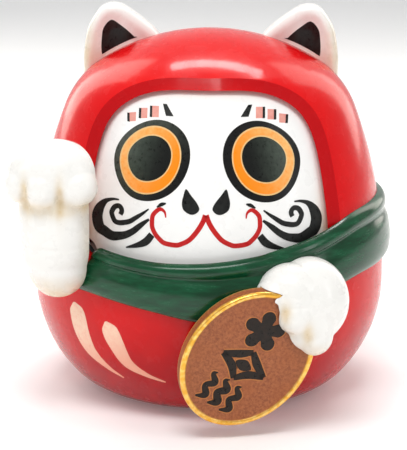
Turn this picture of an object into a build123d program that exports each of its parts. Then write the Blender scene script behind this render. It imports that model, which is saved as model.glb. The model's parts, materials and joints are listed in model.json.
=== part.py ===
"""A glossy cat daruma: a round weighted doll in a red hood, with a raised arm that turns at the
shoulder and a second paw that grips an oval coin.

Millimetres. The origin is the centre of the base, on the surface the doll stands on. +Z is up,
the face looks along -Y, and +X is the viewer's right. An azimuth is counted in degrees from the
front, positive towards the viewer's right.
"""
import os
from math import cos, hypot, radians, sin

from build123d import *

# Body
BODY_HEIGHT = 88.5
BASE_RADIUS = 25.0          # flat ring that the doll stands on
SIDE_JOINTS = [(0, BODY_HEIGHT), (27.2, 80.5), (35.5, 70.4), (43.3, 26.8), (35.0, 5.4), (BASE_RADIUS, 0)]
WALL = 2.5
FLOOR_TOP = 5.4             # inside face of the shells' floor
SEAM_Y = 15.0               # plane where front and rear shell meet
TONGUE_THICKNESS = 1.5
TONGUE_DEPTH = 3.0          # how far the rear shell's tongue reaches past the seam
SLIDE_FIT = 0.1             # gap of a joint that is pushed together and bonded
FIT = 0.05                  # radial gap of pins, screws and the shoulder peg

# Face opening, half of it, as (half-width, height)
FACE_BOTTOM = 38.5
FACE_CORNER = 5.0
FACE_MIDDLE_Z = 52.0
FACE_SIDE = [(28.4, FACE_BOTTOM + FACE_CORNER), (27.2, 55), (25.2, 65), (21.5, 72.6), (15.0, 76.8),
             (0, 78.2)]
FACE_THICKNESS = 2.0
FLANGE = 2.4                # overlap of the face plate behind the hood's edge
HOOD_BEVEL = (4.4, 2.0)     # along the hood's skin, and into its wall
FACE_SCREW_AZIMUTH = 11.0
FACE_SCREW_Z = 35.2
FACE_SCREW_SEAT = -41.6     # head seat, on a frame that looks inwards
FACE_LUG_RADIUS = 2.8
FACE_LUG_FRONT = -39.0      # where a lug leaves the plate, on the same frame
FACE_LUG_END_WALL = 1.2     # past the screw's tip
FACE_TAB = (30.0, 10.0)     # width and height of the tab that carries the lugs

# Ears, half of the pair, as (distance from the middle, height)
EAR_OUTLINE = [(12.6, 87.0), (16.9, 90.9), (20.9, 93.1), (24.6, 94.0), (27.4, 92.9), (29.8, 89.4),
               (31.0, 85.1), (31.6, 80.0), (31.8, 75.8)]
EAR_FOOT = [(30.0, 68.0), (14.0, 79.0)]
EAR_RIM_LENGTH = 25.0
EAR_ROUNDING = 2.2
EAR_FRONT_Y = 3.5
EAR_DEPTH = 9.5
EAR_PEG_AT = (23.0, 8.2, 82.8)
EAR_PEG_RISE = 50.0         # angle of the peg above the horizontal
EAR_PEG_RADIUS = 2.5
EAR_SEAT = -WALL - 3.0      # inner end of an ear's boss, below the hood's skin
EAR_PEG_ROOT = 2.5          # how far the peg runs into the ear

# Scarf band, as front-view heights of its edges at a distance from the middle
SCARF_TOP = [(-44.5, 48.5), (-36, 46.0), (-25.7, 42.3), (-13, 40.7), (0, 40.9), (17, 43.0), (28.2, 45.6),
             (36.1, 48.2), (44.5, 49.5)]
SCARF_BOTTOM = [(-44.5, 34), (-31.1, 31.3), (-18.5, 29.9), (-3.4, 26.8), (12, 26.9), (26, 30.2), (35, 33.8),
                (44.5, 34.5)]
SCARF_THICKNESS = 2.2
SCARF_GAP = [(-25.3, 43.5), (-31.3, 30.0), (-31.3, 25.0), (-37.6, 25.0), (-37.6, 55.0), (-25.3, 55.0)]
SCARF_PEGS = [(0, 30.5), (90, 40.0), (180, 41.0)]     # azimuth, height
SCARF_PEG_RADIUS = 1.5
SCARF_PEG_ROOT = 43.6       # outer end of a peg, inside the band

# Raised arm and its shoulder
ARM_AZIMUTH = -45.5
SHOULDER_Z = 38.5
ARM_CENTRE = 48.9           # distance of the arm's middle line from the doll's axis
ARM_RADIUS = 8.1
ARM_BACK = 45.6             # the arm's flat back, clear of the scarf
PAW_CENTRE_Z = 60.5
PAW_SIZE = (10.8, 8.2, 7.8)  # half sizes: across, deep, high
PAW_FORWARD = 1.8
TOE_RADIUS = 3.9
TOE_SPACING = 6.6
TOE_FORWARD = 5.2           # of the paw's middle
TOE_DROP = 3.6
PEG_RADIUS = 3.0
PAD_RADIUS = 4.0            # seat that stands out of the body through the scarf's gap
PAD_FACE = 45.3
BOSS_ROOT = 41.5
SHOULDER_BOSS_RADIUS = 4.4
BOSS_END = 36.0
END_PLAY = 0.3
RING_AT = 39.4              # friction ring, distance from the doll's axis
RING_WIDTH = 1.6
RING_DEPTH = 0.7
WASHER_RADIUS = 5.0
WASHER_THICKNESS = 1.0

# Gripping paw
GRIP_AT = (22.5, -40.6, 30.7)
GRIP_SIZE = (10.0, 9.2, 11.1)
GRIP_PEGS = [23.5, 32.5]    # azimuths
GRIP_PEG_Z = 24.5
GRIP_PEG_RADIUS = 2.0
GRIP_PEG_ROOT = 44.5        # outer end of a peg, inside the paw
PAW_SEAT = 36.5             # inner end of the paw's bosses, from the doll's axis
PAW_BOSS_LENGTH = 6.0

# Coin
COIN_AT = (9.6, -46.4, 19.9)
COIN_LONG = 17.5
COIN_SHORT = 14.7
COIN_THICKNESS = 3.8
COIN_TURN = 14.0            # the coin's face looks this far to the viewer's right
COIN_DIP = 8.0              # and this far down
COIN_RISE = 54.0            # angle of its long axis
COIN_FIELD_DEPTH = 0.5
COIN_RIM = 1.3
COIN_STUB_RADIUS = 3.0
COIN_SEAT = -11.0           # inner end of the coin's boss, behind the coin's middle
COIN_EDGE_BREAK = 0.4

# Base
PLATE_RADIUS = 22.4
PLATE_BOTTOM = 0.3
PLATE_TOP = 3.0
FLOOR_HOLE = 17.0
WEIGHT_RADIUS = 16.0
WEIGHT_TOP = 12.0
WEIGHT_EDGE_BREAK = 0.6
HEAD_SEAT = 2.0             # height of the base screws' heads' seats
BASE_SCREW_RADIUS = 19.3
BASE_SCREW_AZIMUTHS = [-40, 40, 155, 205]
BASE_BOSS_RADIUS = 2.6
BOSS_TOP = 11.0

# Screws, as (shank radius, shank length, head radius, head height)
SMALL_SCREW = (1.2, 5.0, 2.3, 1.3)
LONG_SCREW = (1.2, 7.6, 2.3, 1.3)
WASHER_HEAD_SCREW = (1.2, 5.0, 3.4, 1.4)
WEIGHT_SCREW = (1.5, 8.0, 3.0, 1.3)
THREAD_GAP = 0.02
BOSS_RADIUS = 4.0

FAR = 200.0
BOTTOM = (Align.CENTER, Align.CENTER, Align.MIN)


def outward(azimuth, rise=0.0):
    """Unit direction away from the doll's axis."""
    level = cos(radians(rise))
    return Vector(level * sin(radians(azimuth)), -level * cos(radians(azimuth)), sin(radians(rise)))


def arc_chain(points):
    """Arcs from point to point, each tangent to the one before, the first one level."""
    arcs, way = [], (1, 0)
    for start, end in zip(points, points[1:]):
        arcs.append(TangentArc(start, end, tangent=way))
        way = arcs[-1] % 1
    return arcs


def body_side(inset=0.0):
    """The body's side as arcs in the (radius, height) plane, from the top down, drawn in by inset,
    or out where it is negative."""
    arcs = arc_chain(SIDE_JOINTS)
    ways = [arcs[0] % 0] + [arc % 1 for arc in arcs]
    return arc_chain([(x + inset * way.Y, z - inset * way.X) for (x, z), way in zip(SIDE_JOINTS, ways)])


def turned(edges):
    """A closed (radius, height) section swept round the doll's axis, its seam line at the back."""
    return revolve(Plane.YZ * Face(Wire(edges)), Axis.Z)


def body_solid(inset=0.0):
    """The round body, solid."""
    side = body_side(inset)
    top, foot = side[0] @ 0, side[-1] @ 1
    return turned([*side, *Polyline(foot, (0, foot.Y), top).edges()])


def layer(outer_inset, inner_inset):
    """The skin of the body between two depths, open at the base."""
    outer, inner = body_side(outer_inset), body_side(inner_inset)
    ends = [Line(outer[0] @ 0, inner[0] @ 0), Line(outer[-1] @ 1, inner[-1] @ 1)]
    return turned([*outer, *inner, *ends])


def hollow_body():
    """The two shells as one piece: the skin, its floor, and the base plate's recess."""
    outer, inner = body_side(), body_side(WALL)[:-1]
    recess, corner = PLATE_RADIUS + SLIDE_FIT, inner[-1] @ 1
    floor = Polyline(corner, (corner.X, FLOOR_TOP), (FLOOR_HOLE, FLOOR_TOP), (FLOOR_HOLE, PLATE_TOP),
                     (recess, PLATE_TOP), (recess, 0), outer[-1] @ 1)
    return turned([*outer, Line(outer[0] @ 0, inner[0] @ 0), *inner, *floor.edges()])


def slab(y_from, y_to):
    """Everything between two planes across the doll."""
    return Pos(0, (y_from + y_to) / 2, 0) * Box(FAR, y_to - y_from, FAR)


def radial_plane(azimuth, z):
    """Frame whose Z axis points away from the doll's axis at a height, with its Y axis up."""
    return Plane(origin=(0, 0, z), x_dir=outward(azimuth + 90), z_dir=outward(azimuth))


def rod(frame, radius, start, end):
    """Round bar along a frame's Z axis."""
    return frame * Pos(0, 0, start) * Cylinder(radius, end - start, align=BOTTOM)


def screw(frame, seat, sizes):
    """Pan-head screw. Its head sits on seat, below it, and its shank runs up the frame's Z axis."""
    shank, length, head, height = sizes
    return rod(frame, shank, seat - 0.01, seat + length) + rod(frame, head, seat - height, seat)


def pilot(frame, seat, sizes):
    """The hole that a screw's shank bites into."""
    return rod(frame, sizes[0] + THREAD_GAP, seat - 0.1, seat + sizes[1] + 0.3)


def face_outline(grow=0.0):
    """Opening of the hood in the front view, grown away from its middle."""
    right = []
    for x, z in FACE_SIDE:
        away = Vector(x, z - FACE_MIDDLE_Z).normalized() * grow
        right.append((x + away.X, z + away.Y))
    left = [(-x, z) for x, z in reversed(right[:-1])]
    half_width, corner_z = right[0]
    low = FACE_BOTTOM - grow
    corner = corner_z - low
    flat = half_width - corner
    arch = Spline(*right, *left, tangents=[(0, 1), (0, -1)])
    right_corner = CenterArc((flat, corner_z), corner, 0, -90)
    left_corner = CenterArc((-flat, corner_z), corner, 180, 90)
    return Face(Wire([arch, right_corner, left_corner, Line((-flat, low), (flat, low))]))


def front_prism(face):
    """A front-view outline, carried through the front half of the doll."""
    return extrude(Plane.XZ * face, amount=FAR)


def on_skin(point):
    """Whether a point lies on the body's outer skin."""
    spot = Vertex(hypot(point.X, point.Y), point.Z, 0)
    return min(arc.distance_to(spot) for arc in body_side()) < 0.01


def in_opening(point):
    """Whether a point lies on the rim of the hood's opening."""
    return point.Y < -10 and FACE_BOTTOM - 1 < point.Z < FACE_SIDE[-1][1] + 1


def paw_frame(azimuth):
    return radial_plane(azimuth, GRIP_PEG_Z)


def coin_frame():
    """Frame on the coin's middle: Z out of its face, X along its long axis."""
    face_out = outward(COIN_TURN, -COIN_DIP)
    level = outward(COIN_TURN + 90)
    rise = radians(COIN_RISE)
    long_axis = level * cos(rise) + face_out.cross(level) * sin(rise)
    return Plane(origin=COIN_AT, x_dir=long_axis, z_dir=face_out)


def ear_frame(side):
    """Frame on the hood at an ear's foot: Z runs out of the hood. side is -1 or 1."""
    x, y, z = EAR_PEG_AT
    level = Vector(side * x, y, 0).normalized() * cos(radians(EAR_PEG_RISE))
    out = Vector(level.X, level.Y, sin(radians(EAR_PEG_RISE)))
    return Plane(origin=(side * x, y, z), x_dir=(level.Y, -level.X, 0), z_dir=out)


def base_frame(azimuth):
    foot = outward(azimuth) * BASE_SCREW_RADIUS
    return Plane(origin=(foot.X, foot.Y, 0))


SHOULDER = radial_plane(ARM_AZIMUTH, SHOULDER_Z)


def arm_peg_end():
    return BOSS_END - END_PLAY


def front_bosses():
    """Bosses inside the front shell for the arm, the ears, the paw, the coin and the base."""
    inside = body_solid(WALL / 2)
    bosses = rod(SHOULDER, SHOULDER_BOSS_RADIUS, BOSS_END, BOSS_ROOT)
    bosses += rod(SHOULDER, PAD_RADIUS, BOSS_ROOT - 1, PAD_FACE)
    for side in (-1, 1):
        bosses += rod(ear_frame(side), BOSS_RADIUS, EAR_SEAT, -WALL / 2) & inside
    for azimuth in GRIP_PEGS:
        bosses += rod(paw_frame(azimuth), BOSS_RADIUS, PAW_SEAT, PAW_SEAT + PAW_BOSS_LENGTH) & inside
    bosses += rod(coin_frame(), BOSS_RADIUS, COIN_SEAT, -2) & inside
    for azimuth in BASE_SCREW_AZIMUTHS[:2]:
        bosses += rod(base_frame(azimuth), BASE_BOSS_RADIUS, FLOOR_TOP - 1, BOSS_TOP)
    return bosses


def make_shells():
    skin = hollow_body()

    opening = front_prism(face_outline())
    front = (skin & slab(-FAR / 2, SEAM_Y)) - opening
    rim = [edge for edge in front.edges() if on_skin(edge @ 0.5) and in_opening(edge @ 0.5)]
    front = chamfer(rim, *HOOD_BEVEL)
    front += front_bosses() - opening
    front -= rod(SHOULDER, PEG_RADIUS + FIT, 0, FAR)
    for side in (-1, 1):
        front -= rod(ear_frame(side), EAR_PEG_RADIUS + FIT, -12, 12)
    for azimuth in GRIP_PEGS:
        front -= rod(paw_frame(azimuth), GRIP_PEG_RADIUS + FIT, 30, 60)
    front -= rod(coin_frame(), COIN_STUB_RADIUS + FIT, -20, 0)
    for azimuth in BASE_SCREW_AZIMUTHS[:2]:
        front -= pilot(base_frame(azimuth), PLATE_TOP, LONG_SCREW)
    for side in (-1, 1):
        frame = face_screw_frame(side)
        front -= rod(frame, SMALL_SCREW[0] + FIT, -FAR, 0)
        front -= rod(frame, SMALL_SCREW[2] + SLIDE_FIT, -FAR, FACE_SCREW_SEAT)

    tongue_inset = WALL + SLIDE_FIT + TONGUE_THICKNESS
    tongue = layer(WALL + SLIDE_FIT, tongue_inset) & slab(SEAM_Y - TONGUE_DEPTH, SEAM_Y + 0.5)
    tongue += layer(WALL - SLIDE_FIT, tongue_inset) & slab(SEAM_Y, SEAM_Y + TONGUE_DEPTH)
    tongue &= Pos(0, 0, FLOOR_TOP + SLIDE_FIT) * Box(FAR, FAR, FAR, align=BOTTOM)
    rear = (skin & slab(SEAM_Y, FAR / 2)) + tongue
    for azimuth in BASE_SCREW_AZIMUTHS[2:]:
        rear += rod(base_frame(azimuth), BASE_BOSS_RADIUS, FLOOR_TOP - 1, BOSS_TOP) & slab(SEAM_Y, FAR / 2)
        rear -= pilot(base_frame(azimuth), PLATE_TOP, LONG_SCREW)

    for azimuth, z in SCARF_PEGS:
        hole = rod(radial_plane(azimuth, z), SCARF_PEG_RADIUS + FIT, 30, 60)
        front -= hole
        rear -= hole
    return front, rear


def face_screw_frame(side):
    """Frame that looks from outside to the doll's axis, under the scarf."""
    azimuth = side * FACE_SCREW_AZIMUTH
    return Plane(origin=(0, 0, FACE_SCREW_Z), x_dir=outward(azimuth + 90), z_dir=-outward(azimuth))


def make_face_plate():
    """The white face, a curved plate behind the hood's opening, with two screw lugs below."""
    depth = WALL + SLIDE_FIT
    outline = Sketch() + face_outline(FLANGE) + Pos(0, FACE_SCREW_Z + 2) * Rectangle(*FACE_TAB)
    plate = layer(depth, depth + FACE_THICKNESS) & front_prism(outline)
    for side in (-1, 1):
        frame = face_screw_frame(side)
        lug_end = FACE_SCREW_SEAT + SMALL_SCREW[1] + FACE_LUG_END_WALL
        plate += rod(frame, FACE_LUG_RADIUS, FACE_LUG_FRONT, lug_end)
    for side in (-1, 1):
        plate -= pilot(face_screw_frame(side), FACE_SCREW_SEAT, SMALL_SCREW)
    return plate - rod(SHOULDER, SHOULDER_BOSS_RADIUS + END_PLAY, 30, 60)


def make_left_ear():
    """A rounded triangular ear that sits on the hood, with the peg that goes through its skin."""
    above = [(-x, z) for x, z in EAR_OUTLINE]
    below = [(-x, z) for x, z in EAR_FOOT]
    outline = Face(Wire([Spline(*above), *Polyline(above[-1], *below, above[0]).edges()]))
    horn = extrude(Pos(0, EAR_FRONT_Y, 0) * Plane.XZ * outline, amount=-EAR_DEPTH)
    rims = [edge for edge in horn.edges() if edge.length > EAR_RIM_LENGTH]
    horn = fillet(rims, EAR_ROUNDING) - body_solid(-FIT)
    frame = ear_frame(-1)
    ear = keep_largest(horn) + rod(frame, EAR_PEG_RADIUS, EAR_SEAT, EAR_PEG_ROOT)
    return ear - pilot(frame, EAR_SEAT, WASHER_HEAD_SCREW)


def keep_largest(shape):
    return shape.solids().sort_by(SortBy.VOLUME)[-1]


def make_scarf():
    """Open band round the neck. The raised arm's shoulder stands in its gap."""
    top, bottom = Spline(*SCARF_TOP), Spline(*SCARF_BOTTOM)
    ends = Line(SCARF_TOP[0], SCARF_BOTTOM[0]) + Line(SCARF_TOP[-1], SCARF_BOTTOM[-1])
    front_view = make_face(top + bottom + ends)
    low, high = SCARF_BOTTOM[-1][1], SCARF_TOP[-1][1]
    back_view = make_face(Polyline((-50, 34), (50, low), (50, high), (-50, 48.5), close=True))
    skin = layer(-SCARF_THICKNESS, -FIT)
    band = skin & extrude(Plane.XZ * front_view, amount=FAR)
    band += skin & extrude(Plane.XZ * back_view, amount=-FAR)
    band -= front_prism(make_face(Polyline(*SCARF_GAP, close=True)))
    for azimuth, z in SCARF_PEGS:
        band += rod(radial_plane(azimuth, z), SCARF_PEG_RADIUS, SCARF_PEG_ROOT - WALL, SCARF_PEG_ROOT)
    return band


def make_arm():
    """Raised arm: a round-ended limb with its paw bent forward over three toes, a flat back and
    the shoulder peg that turns in the front shell's boss."""
    middle = SHOULDER * Pos(0, 0, ARM_CENTRE)
    upright = PAW_CENTRE_Z - SHOULDER_Z
    limb = middle * Sphere(ARM_RADIUS)
    limb += middle * Rot(-90, 0, 0) * Cylinder(ARM_RADIUS, upright, align=BOTTOM)
    paw_at = (middle * Pos(0, upright, 0)).position + Vector(0, -PAW_FORWARD, 0)
    limb += Pos(*paw_at) * scale(Sphere(1), by=PAW_SIZE)
    for toe in (-1, 0, 1):
        toe_at = paw_at + Vector(toe * TOE_SPACING, -TOE_FORWARD, -TOE_DROP)
        limb += Pos(*toe_at) * Sphere(TOE_RADIUS)
    limb &= SHOULDER * Pos(0, 0, ARM_BACK) * Box(FAR, FAR, FAR, align=BOTTOM)
    peg_end = arm_peg_end()
    limb += rod(SHOULDER, PEG_RADIUS, peg_end, ARM_BACK + 1)
    groove = rod(SHOULDER, FAR / 10, RING_AT, RING_AT + RING_WIDTH)
    groove -= rod(SHOULDER, PEG_RADIUS - RING_DEPTH, RING_AT, RING_AT + RING_WIDTH)
    return limb - groove - pilot(SHOULDER, peg_end, SMALL_SCREW)


def make_friction_ring():
    ring = rod(SHOULDER, PEG_RADIUS + 0.02, RING_AT + THREAD_GAP, RING_AT + RING_WIDTH - THREAD_GAP)
    return ring - rod(SHOULDER, PEG_RADIUS - RING_DEPTH + THREAD_GAP, 0, FAR)


def make_washer():
    end = arm_peg_end()
    washer = rod(SHOULDER, WASHER_RADIUS, end - WASHER_THICKNESS, end)
    return washer - rod(SHOULDER, SMALL_SCREW[0] + FIT, 0, FAR)


def make_grip_paw(scarf, coin):
    paw = Pos(*GRIP_AT) * scale(Sphere(1), by=GRIP_SIZE)
    paw = keep_largest(paw - body_solid(-FIT))
    paw = keep_largest(paw - scarf)
    for azimuth in GRIP_PEGS:
        paw += rod(paw_frame(azimuth), GRIP_PEG_RADIUS, PAW_SEAT, GRIP_PEG_ROOT)
    for azimuth in GRIP_PEGS:
        paw -= pilot(paw_frame(azimuth), PAW_SEAT, SMALL_SCREW)
    return keep_largest(paw - coin)


def make_coin():
    frame = coin_frame()
    half = COIN_THICKNESS / 2
    coin = extrude(frame * Ellipse(COIN_LONG, COIN_SHORT), amount=half, both=True)
    coin = chamfer(coin.edges(), COIN_EDGE_BREAK)
    field = Ellipse(COIN_LONG - COIN_RIM, COIN_SHORT - COIN_RIM)
    coin -= extrude(frame * Pos(0, 0, half - COIN_FIELD_DEPTH) * field, amount=2)
    coin += rod(frame, COIN_STUB_RADIUS, COIN_SEAT, -half + 0.1)
    return coin - pilot(frame, COIN_SEAT, SMALL_SCREW)


def make_base_plate():
    plate = Pos(0, 0, PLATE_BOTTOM) * Cylinder(PLATE_RADIUS, PLATE_TOP - PLATE_BOTTOM, align=BOTTOM)
    for azimuth in BASE_SCREW_AZIMUTHS:
        frame = base_frame(azimuth)
        plate -= rod(frame, LONG_SCREW[0] + FIT, 0, PLATE_TOP)
        plate -= rod(frame, LONG_SCREW[2] + SLIDE_FIT, 0, HEAD_SEAT)
    plate -= Cylinder(WEIGHT_SCREW[0] + FIT, FAR)
    return plate - Pos(0, 0, -1) * Cylinder(WEIGHT_SCREW[2] + SLIDE_FIT, PLATE_TOP, align=BOTTOM)


def make_weight():
    weight = Pos(0, 0, PLATE_TOP) * Cylinder(WEIGHT_RADIUS, WEIGHT_TOP - PLATE_TOP, align=BOTTOM)
    weight = chamfer(weight.edges(), WEIGHT_EDGE_BREAK)
    return weight - pilot(Plane.XY, HEAD_SEAT, WEIGHT_SCREW)


def main():
    front, rear = make_shells()
    scarf, coin, left_ear = make_scarf(), make_coin(), make_left_ear()
    parts = {
        "front_shell": front,
        "rear_shell": rear,
        "face_plate": make_face_plate(),
        "face_screws": [screw(face_screw_frame(side), FACE_SCREW_SEAT, SMALL_SCREW) for side in (-1, 1)],
        "ear_left": left_ear,
        "ear_right": mirror(left_ear, about=Plane.YZ),
        "ear_screws": [screw(ear_frame(side), EAR_SEAT, WASHER_HEAD_SCREW) for side in (-1, 1)],
        "scarf": scarf,
        "raised_arm": make_arm(),
        "arm_friction_ring": make_friction_ring(),
        "arm_washer": make_washer(),
        "arm_screw": screw(SHOULDER, arm_peg_end() - WASHER_THICKNESS, SMALL_SCREW),
        "coin_paw": make_grip_paw(scarf, coin),
        "paw_screws": [screw(paw_frame(azimuth), PAW_SEAT, SMALL_SCREW) for azimuth in GRIP_PEGS],
        "coin": coin,
        "coin_screw": screw(coin_frame(), COIN_SEAT, SMALL_SCREW),
        "base_plate": make_base_plate(),
        "base_screws": [screw(base_frame(azimuth), HEAD_SEAT, LONG_SCREW)
                        for azimuth in BASE_SCREW_AZIMUTHS],
        "base_weight": make_weight(),
        "weight_screw": screw(Plane.XY, HEAD_SEAT, WEIGHT_SCREW),
    }
    os.makedirs("parts", exist_ok=True)
    for name, shape in parts.items():
        solids = shape if isinstance(shape, list) else shape.solids()
        export_step(Compound(children=list(solids)), f"parts/{name}.step")


main()
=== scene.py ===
"""Looks of a glossy cat daruma: lacquered body and hood, white painted face, ears and paws, a green
scarf band and a gilt oval coin. Lengths are given in millimetres and turned into metres by MM.
The face looks along -Y; an azimuth is counted from the front, towards the viewer's right."""
import json
import math

import bmesh
import bpy
import numpy as np
from mathutils import Matrix, Vector


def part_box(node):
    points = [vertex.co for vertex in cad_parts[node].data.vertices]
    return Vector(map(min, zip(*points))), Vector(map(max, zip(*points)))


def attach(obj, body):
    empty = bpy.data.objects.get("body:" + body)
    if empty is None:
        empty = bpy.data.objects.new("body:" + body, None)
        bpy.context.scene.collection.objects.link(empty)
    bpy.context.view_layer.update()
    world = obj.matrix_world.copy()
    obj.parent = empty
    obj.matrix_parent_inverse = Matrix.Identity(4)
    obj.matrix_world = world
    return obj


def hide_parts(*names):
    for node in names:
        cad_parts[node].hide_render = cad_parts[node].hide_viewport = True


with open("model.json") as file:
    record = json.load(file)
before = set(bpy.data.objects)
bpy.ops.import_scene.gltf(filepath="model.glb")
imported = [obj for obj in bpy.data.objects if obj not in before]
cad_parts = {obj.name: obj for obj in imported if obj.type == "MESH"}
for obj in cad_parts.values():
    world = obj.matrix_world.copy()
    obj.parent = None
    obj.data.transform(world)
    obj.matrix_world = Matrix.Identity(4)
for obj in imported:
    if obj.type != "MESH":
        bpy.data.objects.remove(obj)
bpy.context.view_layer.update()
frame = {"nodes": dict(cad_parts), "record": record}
MM = 0.001
NODES = frame["nodes"]

# ---------------------------------------------------------------- sizes taken from the frame
BODY_TOP = (Vector(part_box("front_shell")[1]) / MM).z
SIDE_JOINTS = [(0, BODY_TOP), (27.2, 80.5), (35.5, 70.4), (43.3, 26.8), (35.0, 5.4), (25.0, 0)]
SHOULDER = frame["record"]["behaviour"]["joints"][0]
SHOULDER_AT = Vector(SHOULDER["pos_m"]) / MM
SHOULDER_OUT = Vector(SHOULDER["axis"])
ARM_BACK = 45.6
PEG_RADIUS = 3.0
COIN_AT = Vector((9.6, -46.4, 19.9))
COIN_LONG, COIN_SHORT = 17.5, 14.7
COIN_TURN, COIN_DIP, COIN_RISE = 14.0, 8.0, 54.0

# ---------------------------------------------------------------- camera
CAMERA_AIM = Vector((-1.46, 0, 39.3))
CAMERA_DISTANCE = 469.0
CAMERA_RISE, CAMERA_TURN, CAMERA_ROLL = 14.0, 1.4, 0.3
LENS = 150.0

ARC_STEPS = 24
SKIN_GRAIN = 0.3


def outward(azimuth, rise=0.0):
    """Unit direction away from the doll's axis."""
    level = math.cos(math.radians(rise))
    turn = math.radians(azimuth)
    return Vector((level * math.sin(turn), -level * math.cos(turn), math.sin(math.radians(rise))))


def make_camera():
    back = outward(CAMERA_TURN, CAMERA_RISE)
    right = Vector((0, 0, 1)).cross(back).normalized()
    up = back.cross(right)
    roll = math.radians(CAMERA_ROLL)
    across = right * math.cos(roll) + up * math.sin(roll)
    above = up * math.cos(roll) - right * math.sin(roll)
    data = bpy.data.cameras.new("camera")
    data.lens = LENS
    data.clip_start, data.clip_end = 0.01, 20
    camera = bpy.data.objects.new("camera", data)
    bpy.context.collection.objects.link(camera)
    turned = Matrix((across, above, back)).transposed().to_4x4()
    camera.matrix_world = Matrix.Translation((CAMERA_AIM + back * CAMERA_DISTANCE) * MM) @ turned
    bpy.context.scene.camera = camera
    bpy.context.scene.view_settings.view_transform = "Standard"


def area_light(name, azimuth, rise, distance, size, power, colour=(1, 1, 1)):
    data = bpy.data.lights.new(name, "AREA")
    data.shape = "RECTANGLE"
    data.size, data.size_y = size
    data.energy = power
    data.color = colour
    light = bpy.data.objects.new(name, data)
    bpy.context.collection.objects.link(light)
    away = outward(azimuth, rise)
    light.location = away * distance + Vector((0, 0, 0.045))
    light.rotation_euler = away.to_track_quat("Z", "Y").to_euler()


def make_studio():
    """A pale floor that curves up into a wall, and soft boxes round the doll."""
    area_light("top_box", -10, 60, 0.62, (0.34, 0.20), 2.0)
    area_light("left_box", -68, 30, 0.60, (0.12, 0.4), 0.5)
    area_light("right_box", 62, 24, 0.70, (0.10, 0.4), 0.55)
    area_light("crown_box", 176, 64, 0.60, (0.34, 0.07), 1.2)
    area_light("rim_left", -140, 25, 0.55, (0.2, 0.5), 0.9, (1, 0.93, 0.85))
    area_light("rim_right", 140, 25, 0.55, (0.2, 0.5), 0.7, (1, 0.93, 0.85))
    world = bpy.data.worlds.new("soft_room")
    bpy.context.scene.world = world
    world.use_nodes = True
    backdrop = world.node_tree.nodes["Background"]
    backdrop.inputs["Color"].default_value = (1, 1, 1, 1)
    backdrop.inputs["Strength"].default_value = 0.42
    mesh = bpy.data.meshes.new("floor")
    half, steps, bend = 1.6, 16, 0.5
    rows = [(-half, 0)] + [(0.9 + bend * math.sin(a), bend - bend * math.cos(a))
                           for a in (math.pi / 2 * i / steps for i in range(steps + 1))]
    rows.append((0.9 + bend, 2.0))
    points = [(x, y, z) for y, z in rows for x in (-half, half)]
    faces = [(2 * i, 2 * i + 1, 2 * i + 3, 2 * i + 2) for i in range(len(rows) - 1)]
    mesh.from_pydata(points, [], faces)
    mesh.polygons.foreach_set("use_smooth", [True] * len(faces))
    floor = bpy.data.objects.new("floor", mesh)
    bpy.context.collection.objects.link(floor)
    paper = bpy.data.materials.new("floor_paper")
    paper.use_nodes = True
    shader = paper.node_tree.nodes["Principled BSDF"]
    shader.inputs["Base Color"].default_value = (0.97, 0.97, 0.97, 1)
    shader.inputs["Roughness"].default_value = 0.75
    shader.inputs["Emission Color"].default_value = (1, 1, 1, 1)
    shader.inputs["Emission Strength"].default_value = 0.1
    mesh.materials.append(paper)


# ---------------------------------------------------------------- materials
class Finish:
    """A material in the making: nodes are added and joined by short calls."""

    def __init__(self, name, roughness=0.4, **sockets):
        self.material = bpy.data.materials.new(name)
        self.material.use_nodes = True
        self.tree = self.material.node_tree
        self.shader = self.tree.nodes["Principled BSDF"]
        self.shader.inputs["Roughness"].default_value = roughness
        for socket, value in sockets.items():
            self.shader.inputs[socket.replace("_", " ")].default_value = value
        self.place = self.node("ShaderNodeTexCoord").outputs["Object"]

    def node(self, kind, inputs=(), **settings):
        made = self.tree.nodes.new(kind)
        for name, value in settings.items():
            setattr(made, name, value)
        for socket, value in dict(inputs).items():
            if isinstance(value, bpy.types.NodeSocket):
                self.tree.links.new(value, made.inputs[socket])
            else:
                made.inputs[socket].default_value = value
        return made

    def noise(self, scale, detail=3.0, roughness=0.5, stretch=None):
        place = self.place
        if stretch:
            place = self.node("ShaderNodeMapping", {"Vector": place, "Scale": stretch}).outputs["Vector"]
        made = self.node("ShaderNodeTexNoise", {"Vector": place, "Scale": scale, "Detail": detail,
                                                "Roughness": roughness})
        return made.outputs["Fac"]

    def ramp(self, value, low, high, to_low=0.0, to_high=1.0):
        """value from low..high carried to to_low..to_high, smoothly and clamped."""
        made = self.node("ShaderNodeMapRange", {"Value": value, "From Min": low, "From Max": high,
                                                "To Min": to_low, "To Max": to_high},
                         interpolation_type="SMOOTHSTEP")
        return made.outputs["Result"]

    def math(self, operation, first, second=0.0):
        return self.node("ShaderNodeMath", {0: first, 1: second}, operation=operation).outputs[0]

    def mix(self, share, first, second):
        made = self.tree.nodes.new("ShaderNodeMix")
        made.data_type = "RGBA"
        for socket, value in ((made.inputs[0], share), (made.inputs[6], first), (made.inputs[7], second)):
            if isinstance(value, bpy.types.NodeSocket):
                self.tree.links.new(value, socket)
            else:
                socket.default_value = (*value, 1) if isinstance(value, tuple) else value
        return made.outputs[2]

    def axis(self, name):
        return self.node("ShaderNodeSeparateXYZ", {"Vector": self.place}).outputs[name]

    def attribute(self, name):
        return self.node("ShaderNodeAttribute", attribute_name=name).outputs["Fac"]

    def colour(self, value):
        self.tree.links.new(value, self.shader.inputs["Base Color"])
        return self

    def rough(self, value):
        self.tree.links.new(value, self.shader.inputs["Roughness"])
        return self

    def bump(self, height, strength, distance):
        made = self.node("ShaderNodeBump", {"Height": height, "Strength": strength,
                                            "Distance": distance * MM})
        self.tree.links.new(made.outputs["Normal"], self.shader.inputs["Normal"])
        return self


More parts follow.
